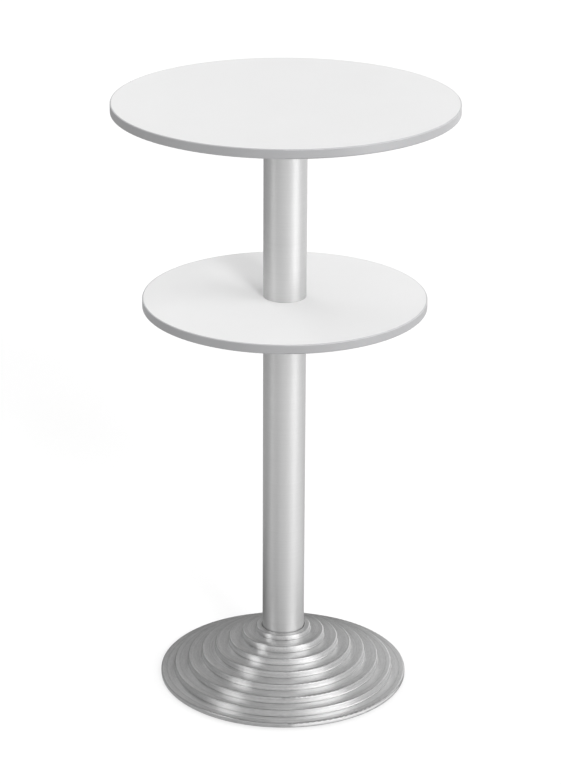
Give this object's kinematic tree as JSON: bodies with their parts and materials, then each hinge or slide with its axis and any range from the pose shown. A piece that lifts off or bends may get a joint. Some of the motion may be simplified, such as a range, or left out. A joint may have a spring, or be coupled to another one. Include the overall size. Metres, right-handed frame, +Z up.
{
  "type": "bar table",
  "caption": "Free-standing bar table with a round top, a smaller round shelf on the same tubular column, a stepped round base and levelling glides underneath.",
  "frame": {"origin": "on the floor, on the axis of the column, with the glides screwed in", "axes": "+Z up along the column; the picture looks along +Y with +X to the right"},
  "size_m": [0.6, 0.6, 1.09],
  "materials": {
    "board_core": "chipboard",
    "white_laminate": "satin",
    "grey_edging": "satin",
    "black_steel": "powder coat",
    "zinc_steel": "zinc plated",
    "satin_aluminium": "satin anodised",
    "turned_aluminium": "turned and lacquered",
    "ballast_concrete": "cast",
    "black_nylon": "moulded"
  },
  "bodies": {
    "table": {"top_core": "board_core", "top_face_sheet": "white_laminate", "top_back_sheet": "white_laminate", "top_edge_band": "grey_edging", "top_plate": "black_steel", "top_screws": "zinc_steel", "rod_lock_nut": "zinc_steel", "upper_column": "satin_aluminium", "shelf_core": "board_core", "shelf_face_sheet": "white_laminate", "shelf_back_sheet": "white_laminate", "shelf_edge_band": "grey_edging", "shelf_hub": "black_steel", "shelf_screws": "zinc_steel", "lower_column": "satin_aluminium", "tie_rod": "zinc_steel", "base_casting": "turned_aluminium", "ballast_block": "ballast_concrete", "clamp_plate": "zinc_steel", "rod_washer": "zinc_steel", "rod_nut": "zinc_steel", "glide_inserts": "zinc_steel"},
    "pad_1": {"glide_pad_1": "black_nylon"},
    "stud_1": {"glide_stud_1": "zinc_steel"},
    "pad_2": {"glide_pad_2": "black_nylon"},
    "stud_2": {"glide_stud_2": "zinc_steel"},
    "pad_3": {"glide_pad_3": "black_nylon"},
    "stud_3": {"glide_stud_3": "zinc_steel"},
    "pad_4": {"glide_pad_4": "black_nylon"},
    "stud_4": {"glide_stud_4": "zinc_steel"}
  },
  "joints": [
    {"name": "glide_1_travel", "type": "slide", "parent": "table", "child": "pad_1", "axis": [0, 0, -1], "range_m": [0, 0.006]},
    {"name": "glide_1_turn", "type": "hinge", "parent": "pad_1", "child": "stud_1", "pos_m": [0.12869, 0.12869, 0], "axis": [0, 0, -1], "range_deg": [0, 1728]},
    {"name": "glide_2_travel", "type": "slide", "parent": "table", "child": "pad_2", "axis": [0, 0, -1], "range_m": [0, 0.006]},
    {"name": "glide_2_turn", "type": "hinge", "parent": "pad_2", "child": "stud_2", "pos_m": [-0.12869, 0.12869, 0], "axis": [0, 0, -1], "range_deg": [0, 1728]},
    {"name": "glide_3_travel", "type": "slide", "parent": "table", "child": "pad_3", "axis": [0, 0, -1], "range_m": [0, 0.006]},
    {"name": "glide_3_turn", "type": "hinge", "parent": "pad_3", "child": "stud_3", "pos_m": [-0.12869, -0.12869, 0], "axis": [0, 0, -1], "range_deg": [0, 1728]},
    {"name": "glide_4_travel", "type": "slide", "parent": "table", "child": "pad_4", "axis": [0, 0, -1], "range_m": [0, 0.006]},
    {"name": "glide_4_turn", "type": "hinge", "parent": "pad_4", "child": "stud_4", "pos_m": [0.12869, -0.12869, 0], "axis": [0, 0, -1], "range_deg": [0, 1728]}
  ],
  "couplings": [
    {"joint": "glide_1_travel", "follows": "glide_1_turn", "m_per_rad": 0.00019894},
    {"joint": "glide_2_travel", "follows": "glide_2_turn", "m_per_rad": 0.00019894},
    {"joint": "glide_3_travel", "follows": "glide_3_turn", "m_per_rad": 0.00019894},
    {"joint": "glide_4_travel", "follows": "glide_4_turn", "m_per_rad": 0.00019894}
  ]
}
